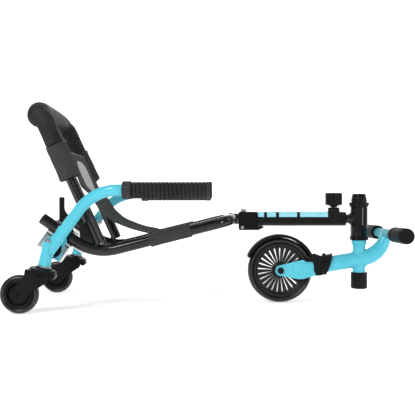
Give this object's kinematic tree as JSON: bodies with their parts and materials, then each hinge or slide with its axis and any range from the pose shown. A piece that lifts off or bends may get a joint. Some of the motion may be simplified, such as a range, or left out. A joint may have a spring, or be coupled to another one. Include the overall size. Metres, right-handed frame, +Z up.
{
  "type": "drift kart",
  "caption": "Low foot-steered drift kart: sling seat between bent rails, telescopic spine, front wheel, lever-tilted rear casters.",
  "frame": {"origin": "on the floor, under the middle of the overall length and width", "axes": "+X forward, +Y to the rider's left, +Z up"},
  "size_m": [1.0157, 0.4432, 0.5319],
  "materials": {
    "gloss_black_paint": "gloss black powder coat",
    "gloss_blue_paint": "gloss sky-blue powder coat",
    "matt_black_steel": "satin black coat",
    "grey_plated_steel": "plated sheet steel",
    "zinc_steel": "zinc-plated",
    "bright_steel": "bright",
    "black_plastic": "fine moulded grain",
    "black_rubber": "matt",
    "black_tyre": "matt, smooth tread",
    "caster_tyre": "satin polyurethane",
    "foam_cover": "fabric over foam tube",
    "seat_fabric": "woven nylon",
    "sleeve_fabric": "textured nylon"
  },
  "bodies": {
    "rear_frame": {"main_frame": "gloss_black_paint", "rail_cap_right": "black_plastic", "rail_cap_left": "black_plastic", "seat_hoop": "gloss_black_paint", "pivot_bracket_right": "grey_plated_steel", "pivot_bracket_left": "grey_plated_steel", "rail_bolt_1": "zinc_steel", "rail_bolt_2": "zinc_steel", "rail_bolt_3": "zinc_steel", "rail_bolt_4": "zinc_steel", "leg_bolt_right": "zinc_steel", "leg_bolt_left": "zinc_steel", "pivot_pin_right": "matt_black_steel", "pivot_pin_left": "matt_black_steel", "outer_tube": "gloss_black_paint", "knob_collar": "matt_black_steel", "coupler": "matt_black_steel", "coupler_bolt": "zinc_steel", "coupler_pin": "zinc_steel", "seat_sling": "seat_fabric", "hoop_cover": "foam_cover", "back_sleeve_right": "sleeve_fabric", "back_sleeve_left": "sleeve_fabric"},
    "front_frame": {"front_frame_tube": "gloss_black_paint", "upper_cup": "matt_black_steel", "lower_cup": "matt_black_steel", "upper_bearing": "bright_steel", "lower_bearing": "bright_steel"},
    "fork": {"fork_frame": "gloss_blue_paint", "top_nut": "black_plastic", "peg_right": "black_rubber", "peg_left": "black_rubber", "bumper": "black_rubber", "fork_plate_right": "gloss_blue_paint", "fork_plate_left": "gloss_blue_paint", "fork_collar": "matt_black_steel", "collar_screw_right": "bright_steel", "collar_screw_left": "bright_steel", "fender": "black_plastic", "front_axle": "black_plastic"},
    "front_wheel": {"front_tyre": "black_tyre", "front_hub": "black_plastic", "front_bearing_right": "bright_steel", "front_bearing_left": "bright_steel"},
    "knob": {"clamp_knob": "black_plastic"},
    "lever_right": {"lever_right": "gloss_blue_paint", "grip_right": "black_rubber"},
    "caster_right": {"caster_fork_right": "matt_black_steel", "caster_stem_right": "zinc_steel", "caster_axle_right": "zinc_steel"},
    "caster_wheel_right": {"caster_tyre_right": "caster_tyre", "caster_hub_right": "black_plastic"},
    "lever_left": {"lever_left": "gloss_blue_paint", "grip_left": "black_rubber"},
    "caster_left": {"caster_fork_left": "matt_black_steel", "caster_stem_left": "zinc_steel", "caster_axle_left": "zinc_steel"},
    "caster_wheel_left": {"caster_tyre_left": "caster_tyre", "caster_hub_left": "black_plastic"}
  },
  "joints": [
    {"name": "extension_slide", "type": "slide", "parent": "rear_frame", "child": "front_frame", "axis": [1, 0, 0], "range_m": [0, 0.12]},
    {"name": "steering", "type": "hinge", "parent": "front_frame", "child": "fork", "pos_m": [0.4141, 0, 0.22], "axis": [0, 0, 1], "range_deg": [-45, 45]},
    {"name": "front_wheel_spin", "type": "hinge", "parent": "fork", "child": "front_wheel", "pos_m": [0.196, 0, 0.088], "axis": [0, 1, 0], "continuous": true},
    {"name": "knob_turn", "type": "hinge", "parent": "rear_frame", "child": "knob", "pos_m": [0.3448, 0, 0.2828], "axis": [0, 0, 1], "continuous": true},
    {"name": "lever_right_swing", "type": "hinge", "parent": "rear_frame", "child": "lever_right", "pos_m": [-0.387, -0.176, 0.157], "axis": [0, -1, 0], "range_deg": [0, 14]},
    {"name": "caster_right_swivel", "type": "hinge", "parent": "lever_right", "child": "caster_right", "pos_m": [-0.4011, -0.176, 0.1163], "axis": [0.23, 0, 0.9732], "continuous": true},
    {"name": "caster_wheel_right_spin", "type": "hinge", "parent": "caster_right", "child": "caster_wheel_right", "pos_m": [-0.46094, -0.176, 0.04742], "axis": [0, 1, 0], "continuous": true},
    {"name": "lever_left_swing", "type": "hinge", "parent": "rear_frame", "child": "lever_left", "pos_m": [-0.387, 0.176, 0.157], "axis": [0, -1, 0], "range_deg": [0, 14]},
    {"name": "caster_left_swivel", "type": "hinge", "parent": "lever_left", "child": "caster_left", "pos_m": [-0.4011, 0.176, 0.1163], "axis": [0.23, 0, 0.9732], "continuous": true},
    {"name": "caster_wheel_left_spin", "type": "hinge", "parent": "caster_left", "child": "caster_wheel_left", "pos_m": [-0.46094, 0.176, 0.04742], "axis": [0, 1, 0], "continuous": true}
  ]
}
